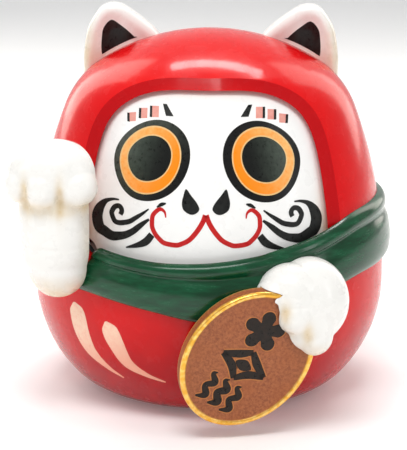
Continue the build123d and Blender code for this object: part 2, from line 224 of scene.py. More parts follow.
def red_lacquer():
    """Bright red gloss with painted shade, deeper towards the foot and on the hood's bevel, with faint
    ripples and dust.
    """
    paint = Finish("red_lacquer", 0.3, Specular_IOR_Level=0.1, Coat_Weight=0.3, Coat_Roughness=0.09)
    height = paint.axis("Z")
    # Painted shade: the red darkens towards the foot.
    low = paint.ramp(height, 4 * MM, 36 * MM)
    mottle = paint.noise(90, 2)
    base = paint.mix(low, (0.37, 0.002, 0.006), (0.68, 0.001, 0.003))
    base = paint.mix(paint.ramp(mottle, 0.35, 0.75, 0, 0.35), base, (0.78, 0.005, 0.002))
    # Painted shade on the hood's bevel: front surfaces above the scarf that turn in from the body's round
    # towards the face are darkened.
    away = paint.node("ShaderNodeVectorMath", {0: paint.place, 1: (0, 0, 0.042)}, operation="SUBTRACT")
    away = paint.node("ShaderNodeVectorMath", {0: away.outputs[0]}, operation="NORMALIZE").outputs[0]
    facing = paint.node("ShaderNodeNewGeometry").outputs["True Normal"]
    tilt = paint.node("ShaderNodeVectorMath", {0: away, 1: facing},
                      operation="DOT_PRODUCT").outputs["Value"]
    rim = paint.math("MULTIPLY", paint.ramp(tilt, 0.90, 0.95, 1, 0), paint.ramp(height, 38 * MM, 42 * MM))
    rim = paint.math("MULTIPLY", rim, paint.ramp(paint.axis("Y"), -20 * MM, -12 * MM, 1, 0))
    base = paint.mix(paint.math("MULTIPLY", rim, 0.75), base, (0.42, 0.002, 0.005))
    specks = paint.ramp(paint.noise(2600, 1), 0.74, 0.8)
    paint.colour(paint.mix(paint.math("MULTIPLY", specks, 0.08), base, (0.9, 0.25, 0.16)))
    paint.rough(paint.ramp(paint.noise(260, 3), 0.3, 0.8, 0.20, 0.34))
    return paint.bump(paint.noise(520, 2), 0.12, 0.08).material


def white_paint():
    """Warm white gloss with painted shade in ochre where the shade attribute says."""
    paint = Finish("white_paint", 0.28, Coat_Weight=0.25, Coat_Roughness=0.12)
    shade = paint.attribute("shade")
    cloud = paint.ramp(paint.noise(420, 3), 0.25, 0.8, 0.7, 1.15)
    base = paint.mix(paint.noise(70, 2), (0.85, 0.84, 0.80), (0.89, 0.88, 0.85))
    paint.colour(paint.mix(paint.math("MULTIPLY", shade, cloud), base, (0.66, 0.47, 0.20)))
    paint.rough(paint.ramp(paint.noise(340, 3), 0.3, 0.8, 0.24, 0.38))
    return paint.bump(paint.noise(650, 2), 0.10, 0.06).material


def face_paint():
    """White of the face, with painted shade in a warm grey under the hood's edge and beside the raised arm.
    """
    paint = Finish("face_paint", 0.30, Coat_Weight=0.2, Coat_Roughness=0.15)
    across, height = paint.axis("X"), paint.axis("Z")
    # Painted shade: warm grey at the face's sides and top, under the hood's edge, stronger lower down.
    side = paint.ramp(paint.math("ABSOLUTE", across), 23.5 * MM, 29.5 * MM)
    top = paint.ramp(height, 74.5 * MM, 79.5 * MM)
    low = paint.ramp(height, 45 * MM, 60 * MM, 1, 0.35)
    edge = paint.math("MULTIPLY", paint.math("MAXIMUM", side, top), low)
    cloud = paint.ramp(paint.noise(300, 3), 0.25, 0.8, 0.5, 1.0)
    base = paint.mix(paint.noise(60, 2), (0.91, 0.905, 0.885), (0.94, 0.935, 0.915))
    paint.colour(paint.mix(paint.math("MULTIPLY", edge, cloud), base, (0.76, 0.62, 0.40)))
    paint.rough(paint.ramp(paint.noise(340, 3), 0.3, 0.8, 0.26, 0.38))
    return paint.bump(paint.noise(650, 2), 0.10, 0.05).material


def green_paint():
    """Deep green gloss, brushed on along the band."""
    paint = Finish("green_paint", 0.26, Specular_IOR_Level=0.35, Coat_Weight=0.15, Coat_Roughness=0.08)
    streak = paint.noise(150, 4, 0.6, stretch=(1, 1, 5))
    base = paint.mix(paint.ramp(streak, 0.3, 0.75), (0.002, 0.040, 0.014), (0.003, 0.085, 0.032))
    worn = paint.ramp(paint.noise(60, 2), 0.55, 0.8, 0, 0.4)
    paint.colour(paint.mix(worn, base, (0.018, 0.050, 0.014)))
    paint.rough(paint.ramp(streak, 0.3, 0.8, 0.16, 0.32))
    return paint.bump(paint.noise(420, 3, stretch=(1, 1, 3)), 0.18, 0.10).material


def coin_paint():
    """Gold on the rims where the gilt attribute is 1, a grainy brown field elsewhere."""
    paint = Finish("coin_paint", 0.35)
    gilt = paint.attribute("gilt")
    grain = paint.noise(1500, 3, 0.7)
    brown = paint.mix(paint.ramp(grain, 0.3, 0.7), (0.23, 0.055, 0.012), (0.42, 0.125, 0.035))
    brown = paint.mix(paint.ramp(paint.noise(170, 3), 0.4, 0.75, 0, 0.5), brown, (0.36, 0.09, 0.015))
    gold = paint.mix(paint.ramp(paint.noise(900, 3), 0.35, 0.7), (0.85, 0.43, 0.05), (1.0, 0.66, 0.19))
    paint.colour(paint.mix(gilt, brown, gold))
    paint.tree.links.new(paint.math("MULTIPLY", gilt, 0.75), paint.shader.inputs["Metallic"])
    paint.rough(paint.ramp(gilt, 0, 1, 0.5, 0.28))
    return paint.bump(grain, 0.25, 0.10).material


def ink(name, dark, pale, lit_side=(0, 0), centre=(0, 0), spread=9.0):
    """Brushed colour with a painted sheen: paler on the side that the given direction points to from centre.
    """
    paint = Finish(name, 0.36, Specular_IOR_Level=0.25)
    grain = paint.noise(900, 4, 0.65)
    tone = paint.ramp(grain, 0.3, 0.75, 0, 0.35)
    # Painted sheen: the side towards the light is made paler.
    if lit_side != (0, 0):
        over = paint.math("MULTIPLY", paint.math("SUBTRACT", paint.axis("X"), centre[0] * MM), lit_side[0])
        up = paint.math("MULTIPLY", paint.math("SUBTRACT", paint.axis("Z"), centre[1] * MM), lit_side[1])
        side = paint.ramp(paint.math("ADD", over, up), -spread * MM, spread * MM)
        tone = paint.math("MULTIPLY", side, paint.ramp(grain, 0.3, 0.75, 0.55, 1.2))
    paint.colour(paint.mix(tone, dark, pale))
    paint.rough(paint.ramp(grain, 0.3, 0.8, 0.26, 0.46))
    return paint.bump(grain, 0.3, 0.05).material


def plain(name, dark, pale, roughness, scale, **sockets):
    """Even stock with a fine grain, for the parts that are seldom seen."""
    stock = Finish(name, roughness, **sockets)
    grain = stock.noise(scale, 4, 0.6)
    stock.colour(stock.mix(stock.ramp(grain, 0.3, 0.7), dark, pale))
    stock.rough(stock.ramp(grain, 0.3, 0.75, roughness * 0.8, min(1, roughness * 1.3)))
    return stock.bump(grain, 0.25, 0.06).material


# ---------------------------------------------------------------- mesh helpers
def add_object(name, mesh):
    made = bpy.data.objects.new(name, mesh)
    bpy.context.collection.objects.link(made)
    return made


def mesh_from(name, points, faces, material):
    """A closed mesh from points in millimetres, its faces turned outwards."""
    shape = bmesh.new()
    corners = [shape.verts.new(Vector(point) * MM) for point in points]
    for face in faces:
        shape.faces.new([corners[i] for i in face])
    bmesh.ops.recalc_face_normals(shape, faces=shape.faces)
    if shape.calc_volume(signed=True) < 0:
        bmesh.ops.reverse_faces(shape, faces=shape.faces)
    mesh = bpy.data.meshes.new(name)
    shape.to_mesh(mesh)
    shape.free()
    mesh.polygons.foreach_set("use_smooth", [True] * len(mesh.polygons))
    if material:
        mesh.materials.append(material)
    return add_object(name, mesh)


def baked(piece):
    """The piece with its modifiers worked into a plain mesh."""
    graph = bpy.context.evaluated_depsgraph_get()
    mesh = bpy.data.meshes.new_from_object(piece.evaluated_get(graph), depsgraph=graph)
    mesh.name = piece.name
    piece.modifiers.clear()
    piece.data = mesh
    return piece


def sharpen(piece, degrees):
    """Smooth shading that breaks at edges sharper than the angle."""
    shape = bmesh.new()
    shape.from_mesh(piece.data)
    for edge in shape.edges:
        edge.smooth = len(edge.link_faces) == 2 and edge.calc_face_angle(0) < math.radians(degrees)
    for face in shape.faces:
        face.smooth = True
    shape.to_mesh(piece.data)
    shape.free()
    return piece


def smooth_curve(points, steps, closed=False):
    """Catmull-Rom curve through points, with steps samples to a span."""
    rows = [np.array(point, float) for point in points]
    count = len(rows)
    spans = count if closed else count - 1
    line = []
    for i in range(spans):
        if closed:
            a, b, c, d = (rows[(i + k) % count] for k in (-1, 0, 1, 2))
        else:
            b, c = rows[i], rows[i + 1]
            a = rows[i - 1] if i else 2 * b - c
            d = rows[i + 2] if i + 2 < count else 2 * c - b
        for step in range(steps):
            t = step / steps
            line.append(0.5 * (2 * b + (c - a) * t + (2 * a - 5 * b + 4 * c - d) * t ** 2
                               + (3 * b - a - 3 * c + d) * t ** 3))
    if not closed:
        line.append(rows[-1])
    return line


def body_side(lift=0.0):
    """Radii and heights down the body's side, lift millimetres outside its skin, from the foot up."""
    spots, heading = [], 0.0
    for start, end in zip(SIDE_JOINTS, SIDE_JOINTS[1:]):
        chord = math.atan2(end[1] - start[1], end[0] - start[0])
        turn = 2 * (chord - heading)
        radius = math.dist(start, end) / (2 * math.sin(turn / 2))
        for step in range(ARC_STEPS + 1):
            way = heading + turn * step / ARC_STEPS
            x = start[0] + radius * (math.sin(way) - math.sin(heading))
            z = start[1] - radius * (math.cos(way) - math.cos(heading))
            spots.append((x - lift * math.sin(way), z + lift * math.cos(way)))
        heading += turn
    spots.reverse()
    return np.array(spots)


def ring_faces(rows, turns):
    """Faces of a closed solid whose points run ring by ring, with a cap on its first and last ring."""
    faces = []
    for k in range(rows - 1):
        for i in range(turns):
            after = (i + 1) % turns
            faces.append((k * turns + i, k * turns + after, (k + 1) * turns + after, (k + 1) * turns + i))
    faces.append(tuple(range(turns)))
    faces.append(tuple(rows * turns - 1 - i for i in range(turns)))
    return faces


def lathe(name, profile, material, place=Matrix(), turns=96):
    """A turned solid: profile lists (radius, height) up from one end, and place puts it in the frame."""
    rings = [(max(r, 0.02), z) for r, z in profile]
    points = [place @ Vector((r * math.sin(a), -r * math.cos(a), z)) for r, z in rings
              for a in (2 * math.pi * i / turns for i in range(turns))]
    return mesh_from(name, points, ring_faces(len(rings), turns), material)


def body_form(lift):
    """Solid of the body's round shape, to cut other pieces with."""
    side = body_side(lift)
    keep = [0] + [i for i in range(1, len(side)) if math.dist(side[i], side[i - 1]) > 0.01]
    return lathe("body_form", [tuple(side[i]) for i in keep], None, turns=128)


def cut_away(piece, *cutters):
    """piece less the cutters."""
    for cutter in cutters:
        cut = piece.modifiers.new("cut", "BOOLEAN")
        cut.operation, cut.solver, cut.object = "DIFFERENCE", "EXACT", cutter
    baked(piece)
    return piece


def drop(*pieces):
    for piece in pieces:
        bpy.data.objects.remove(piece, do_unlink=True)


def ball(shape, centre, half):
    """Adds an ellipsoid, half sizes in millimetres, to a bmesh."""
    place = Matrix.Translation(Vector(centre) * MM) @ Matrix.Diagonal((*(h * MM for h in half), 1))
    bmesh.ops.create_icosphere(shape, subdivisions=5, radius=1, matrix=place)


def rod(shape, start, end, radius):
    """Adds a closed round bar between two points."""
    start, end = Vector(start) * MM, Vector(end) * MM
    turn = (end - start).to_track_quat("Z", "Y").to_matrix().to_4x4()
    bmesh.ops.create_cone(shape, cap_ends=True, segments=64, radius1=radius * MM, radius2=radius * MM,
                          depth=(end - start).length, matrix=Matrix.Translation((start + end) / 2) @ turn)


def smooth_skin(piece, grain, passes):
    """Remeshes a piece as one skin of grain millimetres and eases it over the passes."""
    skin = piece.modifiers.new("skin", "REMESH")
    skin.mode, skin.voxel_size, skin.use_smooth_shade = "VOXEL", grain * MM, True
    ease = piece.modifiers.new("ease", "SMOOTH")
    ease.factor, ease.iterations = 0.5, passes
    return baked(piece)


def melt(name, shape, passes, material):
    """One smooth skin over the overlapping solids of a bmesh."""
    mesh = bpy.data.meshes.new(name)
    shape.to_mesh(mesh)
    shape.free()
    mesh.materials.append(material)
    return smooth_skin(add_object(name, mesh), SKIN_GRAIN, passes)


def spots_of(mesh):
    """The mesh's points in millimetres, one to a row."""
    spots = np.empty(len(mesh.vertices) * 3)
    mesh.vertices.foreach_get("co", spots)
    return spots.reshape(-1, 3) / MM


def tint(piece, rule):
    """Stores a 0..1 painted shade on each point, worked out from its place in millimetres."""
    layer = piece.data.attributes.new("shade", "FLOAT", "POINT")
    shade = np.clip(rule(spots_of(piece.data)), 0, 1)
    layer.data.foreach_set("value", shade.astype(np.float32))


def glow(spots, centre, half):
    """Soft spot: 1 at the centre, falling off over the half sizes."""
    return np.exp(-(((spots - np.array(centre)) / np.array(half)) ** 2).sum(axis=1))


def shade_spots(spots, shades):
    """Painted shade: sum of soft spots, given as (strength, centre, half sizes) rows."""
    return sum(share * glow(spots, centre, half) for share, centre, half in shades)


def dent(piece, centre, half, way, depth):
    """Presses a soft groove into a piece, depth millimetres along way at its middle."""
    mesh = piece.data
    spots = spots_of(mesh)
    push = glow(spots, centre, half)[:, None] * np.array(Vector(way).normalized()) * depth
    mesh.vertices.foreach_set("co", ((spots + push) * MM).ravel())
    mesh.update()


def finish_piece(piece, body, slot, *nodes):
    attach(piece, body)
    if nodes:
        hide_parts(*nodes)
    return piece


# ---------------------------------------------------------------- ears
EAR_OUTLINE = [(-31.5, 77.9), (-31.5, 81.1), (-31.0, 85.2), (-30.1, 88.7), (-27.7, 92.5), (-26.2, 93.6),
               (-24.6, 94.0), (-22.7, 93.8), (-20.9, 93.0), (-17.1, 90.4), (-13.1, 86.7), (-11.0, 82.0),
               (-16.0, 73.0), (-26.0, 69.0), (-31.0, 73.0)]
EAR_MIDDLE = (-23.0, 83.0)
EAR_PROFILE = [(99, 5.4), (6.0, 5.1), (4.0, 4.5), (2.6, 3.9), (1.7, 3.6), (1.0, 3.7), (0.5, 4.2),
               (0.15, 5.0), (0, 6.0), (0, 8.6), (0.2, 10.2), (0.7, 11.5), (1.6, 12.4), (3.0, 12.9),
               (5.5, 13.0), (99, 13.0)]
# Painted shade spots at the ear's foot and outer edge: (strength, centre, half sizes), x mirrored with the
# ear's side.
EAR_SHADES = [(0.35, (22.0, 8, 78), (14, 9, 6)), (0.5, (31, 6, 84), (2.5, 5, 9))]


def make_ear(name, side, body):
    """Rounded ear, dished in front; profile rows are (inset from the outline, depth)."""
    outline = smooth_curve(EAR_OUTLINE, 8, closed=True)
    middle = np.array(EAR_MIDDLE)
    rings = []
    for inset, depth in EAR_PROFILE:
        ring = []
        for spot in outline:
            arm = spot - middle
            reach = np.linalg.norm(arm)
            share = max(0.01, 1 - inset / reach)
            x, z = middle + arm * share
            ring.append((x * side * -1, depth, z))
        rings.append(ring)
    points = [spot for ring in rings for spot in ring]
    ear = mesh_from(name, points, ring_faces(len(rings), len(outline)), WHITE)
    smooth_skin(ear, SKIN_GRAIN, 6)
    cut_away(ear, body)
    sharpen(ear, 45)
    # Painted shade at the ear's foot against the hood and along its outer edge.
    tint(ear, lambda p: shade_spots(p, [(share, (side * x, y, z), half)
                                     for share, (x, y, z), half in EAR_SHADES]))
    return ear


# ---------------------------------------------------------------- scarf
SCARF_EDGES = [(-57, 46.3, 32.9), (-45, 44.6, 31.5), (-34.8, 42.3, 30.9), (-17, 40.7, 29.0), (0, 40.9, 26.8),
               (15.5, 42.2, 26.9), (22, 43.2, 28.0), (35, 45.1, 30.3), (46, 47.2, 32.6), (57, 48.9, 33.8),
               (75, 49.5, 34.1), (90, 49.5, 34.0), (140, 49.5, 34.0), (180, 49.5, 34.0), (240, 49.2, 34.0),
               (275, 48.2, 33.8), (303, 46.3, 32.9)]
SCARF_END_TOP, SCARF_END_LOW = (-26.5, 43.5), (-32.1, 30.0)
SCARF_LAST = 302.5
SCARF_FOLD = 0.74
SCARF_PROUD = 2.05
SCARF_STEPS, SCARF_ROWS = 420, 40
SCARF_FIRST_GUESS = -35
SCARF_REACH = 45
SCARF_TAPER = 2.4
SCARF_LEAST = 1.05


def scarf_section(share):
    """How far the band stands off the body, share of the way up: a full roll with a narrow fold above."""
    if share < SCARF_FOLD:
        roll = SCARF_PROUD * max(0, 1 - abs(2 * share / SCARF_FOLD - 1) ** 2.6) ** 0.5
    else:
        along = (share - SCARF_FOLD) / (1 - SCARF_FOLD)
        roll = 0.86 * SCARF_PROUD * max(0, 1 - abs(2 * along - 1) ** 2.2) ** 0.5
    least = SCARF_LEAST if 0.2 < share < 0.9 else 0.0
    return (roll ** 6 + least ** 6) ** (1 / 6)


def make_scarf():
    """The band, ring by ring round the body, with a slanted first end and both ends rounded off."""
    table = np.array(smooth_curve(SCARF_EDGES, 12))
    side = body_side(0.03)
    sections = [scarf_section(row / SCARF_ROWS) for row in range(SCARF_ROWS + 1)]
    rings = []
    for step in range(SCARF_STEPS + 1):
        along = step / SCARF_STEPS
        along = along + 0.004 * math.sin(2 * math.pi * along)
        outer, inner = [], []
        for row in range(SCARF_ROWS + 1):
            share = row / SCARF_ROWS
            rough = SCARF_FIRST_GUESS + along * (SCARF_LAST - SCARF_FIRST_GUESS)
            top, low = (np.interp(rough, table[:, 0], table[:, k]) for k in (1, 2))
            height = low + share * (top - low)
            slant = (height - SCARF_END_LOW[1]) / (SCARF_END_TOP[1] - SCARF_END_LOW[1])
            start_x = SCARF_END_LOW[0] + slant * (SCARF_END_TOP[0] - SCARF_END_LOW[0])
            first = math.degrees(math.asin(start_x / SCARF_REACH))
            turn = first + along * (SCARF_LAST - first)
            top, low = (np.interp(turn, table[:, 0], table[:, k]) for k in (1, 2))
            ends = min(turn - first, SCARF_LAST - turn) * 0.78
            taper = min(1, ends / SCARF_TAPER)
            rounded = max(0.0, 1 - (1 - taper) ** 2) ** 0.5
            close = 0.5 - (0.5 - share) * (0.72 + 0.28 * rounded)
            height = low + close * (top - low)
            radius = float(np.interp(height, side[:, 1], side[:, 0]))
            away = outward(turn)
            lift = sections[row] * rounded
            outer.append((away.x * (radius + lift), away.y * (radius + lift), height))
            if row % 5 == 0:
                inner.append((away.x * radius, away.y * radius, height))
        rings.append(outer + inner[::-1])
    points = [spot for ring in rings for spot in ring]
    scarf = mesh_from("scarf_band", points, ring_faces(len(rings), len(rings[0])), GREEN)
    shape = bmesh.new()
    shape.from_mesh(scarf.data)
    bmesh.ops.remove_doubles(shape, verts=shape.verts, dist=0.004 * MM)
    shape.to_mesh(scarf.data)
    shape.free()
    return sharpen(scarf, 60)


# ---------------------------------------------------------------- paws
# Solids are (centre, half sizes): elbow, forearm, back of the paw, its front edge, then the toes.
ARM_BALLS = [((-34.4, -34.6, 38.6), (7.3, 7.6, 8.2)), ((-34.7, -34.7, 43.0), (8.4, 8.4, 10.0))]
FOREARM_LOW, FOREARM_TOP, FOREARM_RADIUS = (-34.8, -34.7, 44.0), (-34.8, -34.7, 58.0), 8.6
PAW_BALLS = [((-35.0, -36.0, 60.4), (10.8, 8.8, 7.6)), ((-35.0, -37.6, 58.2), (10.4, 7.6, 4.9)),
             ((-29.2, -40.2, 57.9), (4.7, 4.7, 4.5)), ((-37.0, -41.3, 57.7), (4.7, 4.7, 4.5)),
             ((-42.4, -38.2, 58.0), (3.7, 4.7, 4.4))]
# Grooves between the toes: (centre, half sizes, way, depth).
TOE_GROOVES = [((-32.9, -46.0, 55.2), (0.8, 5.0, 4.2), (0, 1, 0.3), 0.9),
               ((-41.0, -44.5, 55.2), (0.8, 5.0, 4.2), (0.2, 1, 0.3), 0.9)]
# The peg's profile, (radius, distance from the doll's axis), with the neck that the ring sits in.
PEG_PROFILE = [(2.6, 35.7), (PEG_RADIUS, 36.1), (PEG_RADIUS, 39.35), (2.3, 39.35), (2.3, 41.05),
               (PEG_RADIUS, 41.05), (PEG_RADIUS, 46.6)]
PILOT_RADIUS = 1.24
# Painted shade spots in the grooves between the toes, under the toes and beside the face: (strength, centre,
# half sizes).
GROOVE_SHADES = [(0.9, (-32.9, -45.5, 55.6), (1.0, 4, 4.4)), (0.9, (-41.0, -43.8, 55.6), (1.0, 4, 4.4))]
PAW_SHADES = [(0.6, (-36, -41, 53.2), (11, 7, 2.0)), (0.45, (-27.4, -36, 46), (1.6, 4, 12)),
              (0.6, (-25.2, -38, 54.5), (3, 5, 2.5))]
PAW_FRONT = -38


def flatten_back(arm):
    """Cuts the arm's back to the flat that turns against the body."""
    shape = bmesh.new()
    shape.from_mesh(arm.data)
    cut = bmesh.ops.bisect_plane(shape, geom=shape.verts[:] + shape.edges[:] + shape.faces[:],
                                 plane_co=SHOULDER_OUT * (ARM_BACK + 0.02) * MM, plane_no=SHOULDER_OUT,
                                 clear_inner=True)
    rim = [part for part in cut["geom_cut"] if isinstance(part, bmesh.types.BMEdge)]
    bmesh.ops.holes_fill(shape, edges=rim, sides=0)
    bmesh.ops.recalc_face_normals(shape, faces=shape.faces)
    shape.to_mesh(arm.data)
    shape.free()


def make_arm():
    """Raised arm with its paw bent forward over three toes, a flat back and its turning peg."""
    shape = bmesh.new()
    for centre, half in ARM_BALLS:
        ball(shape, centre, half)
    rod(shape, FOREARM_LOW, FOREARM_TOP, FOREARM_RADIUS)
    for centre, half in PAW_BALLS:
        ball(shape, centre, half)
    arm = melt("raised_paw", shape, 12, WHITE)
    for groove in TOE_GROOVES:
        dent(arm, *groove)
    flatten_back(arm)
    turned = SHOULDER_OUT.to_track_quat("Z", "Y").to_matrix().to_4x4()
    place = Matrix.Translation((0, 0, SHOULDER_AT.z)) @ turned
    peg = lathe("peg", PEG_PROFILE, WHITE, place, 64)
    screw_hole = lathe("screw_hole", [(PILOT_RADIUS, 30), (PILOT_RADIUS, 41)], None, place, 32)
    cut_away(peg, screw_hole)
    drop(screw_hole)
    together([arm, peg])
    sharpen(arm, 50)

    # Painted shade: darker at the arm's foot, in the grooves between the toes, under the toes and beside the
    # face.
    def shade(p):
        low = np.clip((37.5 - p[:, 2]) / 7, 0, 1) * 0.8
        return low + shade_spots(p, GROOVE_SHADES) * (p[:, 1] < PAW_FRONT) + shade_spots(p, PAW_SHADES)
    tint(arm, shade)
    return arm


def together(pieces):
    """Joins the pieces into the first one."""
    shape = bmesh.new()
    for piece in pieces:
        shape.from_mesh(piece.data)
    shape.to_mesh(pieces[0].data)
    shape.free()
    drop(*pieces[1:])


# Three solids for the back of the paw, then three toes.
COIN_PAW_BALLS = [((23.6, -39.0, 31.4), (9.6, 9.2, 10.3)), ((19.7, -42.3, 33.8), (7.9, 6.8, 7.3)),
                  ((23.4, -41.0, 27.8), (7.2, 7.6, 8.0)), ((15.8, -44.4, 34.4), (4.3, 4.6, 3.9)),
                  ((20.6, -45.6, 29.6), (4.4, 4.6, 4.2)), ((25.0, -42.8, 24.2), (4.5, 4.9, 4.7))]
# Painted shade spots in the grooves between the toes and beside the toe tips: (strength, centre, half
# sizes).
COIN_PAW_SHADES = [(0.95, (18.4, -47.5, 31.0), (1.3, 4, 2.4)), (0.95, (23.6, -46.8, 25.9), (1.3, 4, 2.4)),
                   (0.6, (12.5, -47, 31.2), (2.5, 3, 1.6)), (0.6, (18.2, -48.5, 25.5), (2.5, 3, 1.6))]


def make_coin_paw(body, scarf, coin_room):
    """Paw that holds the coin: a plump back with three toes bent over the coin's end."""
    shape = bmesh.new()
    for centre, half in COIN_PAW_BALLS:
        ball(shape, centre, half)
    paw = melt("coin_paw_grip", shape, 10, WHITE)
    cut_away(paw, body, scarf, coin_room)
    sharpen(paw, 50)

    # Painted shade: the grooves, the toe tips and the paw's lower side are darkened.
    def shade(p):
        return shade_spots(p, COIN_PAW_SHADES) + np.clip((24 - p[:, 2]) / 6, 0, 1) * 0.7
    tint(paw, shade)
    return paw


# ---------------------------------------------------------------- coin
COIN_OUT = outward(COIN_TURN, -COIN_DIP)
COIN_LEVEL = outward(COIN_TURN + 90)
COIN_LONG_WAY = (COIN_LEVEL * math.cos(math.radians(COIN_RISE))
                 + COIN_OUT.cross(COIN_LEVEL) * math.sin(math.radians(COIN_RISE)))
COIN_PLACE = Matrix.Translation(COIN_AT) @ Matrix((COIN_LONG_WAY, COIN_OUT.cross(COIN_LONG_WAY),
                                                   COIN_OUT)).transposed().to_4x4()
# Rows are (inset from the rim, height, gilt), from the back's middle round to the front's.
COIN_SKIRT = [(9.0, -1.80, 0), (4.0, -1.84, 0), (1.2, -1.88, 0.2), (0.7, -1.9, 1), (0.35, -1.82, 1),
              (0.1, -1.6, 1), (0.0, -1.3, 1), (0.0, -1.1, 0.1), (0.06, -0.9, 0), (0.06, 0.7, 0),
              (0.0, 0.95, 0.1), (0.0, 1.2, 1), (0.1, 1.6, 1), (0.35, 1.84, 1), (0.65, 1.9, 1),
              (0.95, 1.86, 1), (1.15, 1.72, 0.8), (1.3, 1.5, 0.15), (1.5, 1.42, 0), (3.0, 1.42, 0),
              (6.0, 1.43, 0), (10.0, 1.45, 0), (13.0, 1.45, 0)]
COIN_TURNS = 160


def coin_form(name, profile, grow=0.0):
    """Oval disc from (inset, height, gilt) rows."""
    turns = COIN_TURNS
    points, gilt = [], []
    for inset, height, gold in profile:
        for i in range(turns):
            a = 2 * math.pi * i / turns
            long_half, short_half = COIN_LONG - inset + grow, max(0.3, COIN_SHORT - inset + grow)
            points.append(COIN_PLACE @ Vector((long_half * math.cos(a), short_half * math.sin(a), height)))
            gilt.append(gold)
    piece = mesh_from(name, points, ring_faces(len(profile), turns), COIN)
    layer = piece.data.attributes.new("gilt", "FLOAT", "POINT")
    layer.data.foreach_set("value", gilt)
    return piece


def make_coin():
    """The coin with its raised gilt rims, and the stub that its screw runs into."""
    coin = coin_form("oval_coin", COIN_SKIRT)
    stub = lathe("stub", [(3.0, -11.0), (3.0, -1.5)], COIN, COIN_PLACE, 48)
    hole = lathe("hole", [(PILOT_RADIUS, -14), (PILOT_RADIUS, -5.5)], None, COIN_PLACE, 32)
    cut_away(stub, hole)
    drop(hole)
    stub.data.attributes.new("gilt", "FLOAT", "POINT")
    together([coin, stub])
    return sharpen(coin, 40)


# ---------------------------------------------------------------- painted marks
def paint_tree():
    """Nodes that lay a flat shape on a surface: each point is sent along Toward until it meets the
    surface, then stands off it by its own lift."""
    tree = bpy.data.node_groups.new("paint_on_surface", "GeometryNodeTree")
    face = tree.interface
    for name, kind in (("Shape", "NodeSocketGeometry"), ("Surface", "NodeSocketObject"),
                       ("Toward", "NodeSocketVector"), ("Paint", "NodeSocketMaterial")):
        face.new_socket(name, in_out="INPUT", socket_type=kind)
    face.new_socket("Shape", in_out="OUTPUT", socket_type="NodeSocketGeometry")

    def node(kind, **settings):
        made = tree.nodes.new(kind)
        for name, value in settings.items():
            setattr(made, name, value)
        return made
    entry, leave = node("NodeGroupInput"), node("NodeGroupOutput")
    surface = node("GeometryNodeObjectInfo", transform_space="ORIGINAL")
    cast = node("GeometryNodeRaycast")
    cast.inputs["Ray Length"].default_value = 0.3
    lift = node("GeometryNodeInputNamedAttribute", data_type="FLOAT")
    lift.inputs["Name"].default_value = "lift"
    push = node("ShaderNodeVectorMath", operation="SCALE")
    total = node("ShaderNodeVectorMath", operation="ADD")
    place = node("GeometryNodeSetPosition")
    real = node("GeometryNodeRealizeInstances")
    coat = node("GeometryNodeSetMaterial")
    join = tree.links.new
    join(entry.outputs["Surface"], surface.inputs["Object"])
    join(surface.outputs["Geometry"], cast.inputs["Target Geometry"])
    join(entry.outputs["Toward"], cast.inputs["Ray Direction"])
    join(cast.outputs["Hit Normal"], push.inputs[0])
    join(lift.outputs["Attribute"], push.inputs["Scale"])
    join(cast.outputs["Hit Position"], total.inputs[0])
    join(push.outputs[0], total.inputs[1])
    join(entry.outputs["Shape"], place.inputs["Geometry"])
    join(total.outputs[0], place.inputs["Position"])
    join(cast.outputs["Is Hit"], place.inputs["Selection"])
    join(place.outputs["Geometry"], real.inputs["Geometry"])
    join(real.outputs["Geometry"], coat.inputs["Geometry"])
    join(entry.outputs["Paint"], coat.inputs["Material"])
    join(coat.outputs["Geometry"], leave.inputs["Shape"])
    return tree


LEAST_STROKE = 0.12
FILM_FOOT = -0.03
CAST_FROM_FRONT, CAST_FROM_COIN = -90, 30


def stroke(path, widths, steps=10):
    """Brush stroke along a path; widths are spread evenly along it. Gives (points, faces)."""
    line = np.array(smooth_curve(path, steps))
    along = np.linspace(0, 1, len(line))
    swell = np.array(smooth_curve([(width,) for width in widths], 8))[:, 0].clip(LEAST_STROKE)
    wide = np.interp(along, np.linspace(0, 1, len(swell)), swell) / 2
    way = np.gradient(line, axis=0)
    way /= np.linalg.norm(way, axis=1)[:, None]
    left = np.stack([-way[:, 1], way[:, 0]], axis=1)
    columns = 5
    points = [tuple(line[i] + left[i] * wide[i] * (2 * c / (columns - 1) - 1))
              for i in range(len(line)) for c in range(columns)]
    faces = [(i * columns + c, i * columns + c + 1, (i + 1) * columns + c + 1, (i + 1) * columns + c)
             for i in range(len(line) - 1) for c in range(columns - 1)]
    return points, faces


def patch(outline, steps=5, rings=9, middle=None):
    """Filled spot whose outline goes round its middle. Gives (points, faces)."""
    edge = np.array(smooth_curve(outline, steps, closed=True))
    middle = edge.mean(axis=0) if middle is None else np.array(middle, float)
    turns = len(edge)
    points = [tuple(middle)]
    for ring in range(1, rings + 1):
        points += [tuple(middle + (spot - middle) * ring / rings) for spot in edge]
    faces = [(0, 1 + i, 1 + (i + 1) % turns) for i in range(turns)]
    faces += [(1 + k * turns + i, 1 + k * turns + (i + 1) % turns, 1 + (k + 1) * turns + (i + 1) % turns,
               1 + (k + 1) * turns + i) for k in range(rings - 1) for i in range(turns)]
    return points, faces


def box_patch(top_left, top_right, low_left, low_right, steps=6):
    """Four-cornered brush mark. Gives (points, faces)."""
    corners = [np.array(c, float) for c in (top_left, top_right, low_left, low_right)]
    points = []
    for j in range(steps + 1):
        for i in range(steps + 1):
            u, v = i / steps, j / steps
            points.append(tuple((corners[0] * (1 - u) + corners[1] * u) * (1 - v)
                                + (corners[2] * (1 - u) + corners[3] * u) * v))
    wide = steps + 1
    faces = [(j * wide + i, j * wide + i + 1, (j + 1) * wide + i + 1, (j + 1) * wide + i)
             for j in range(steps) for i in range(steps)]
    return points, faces


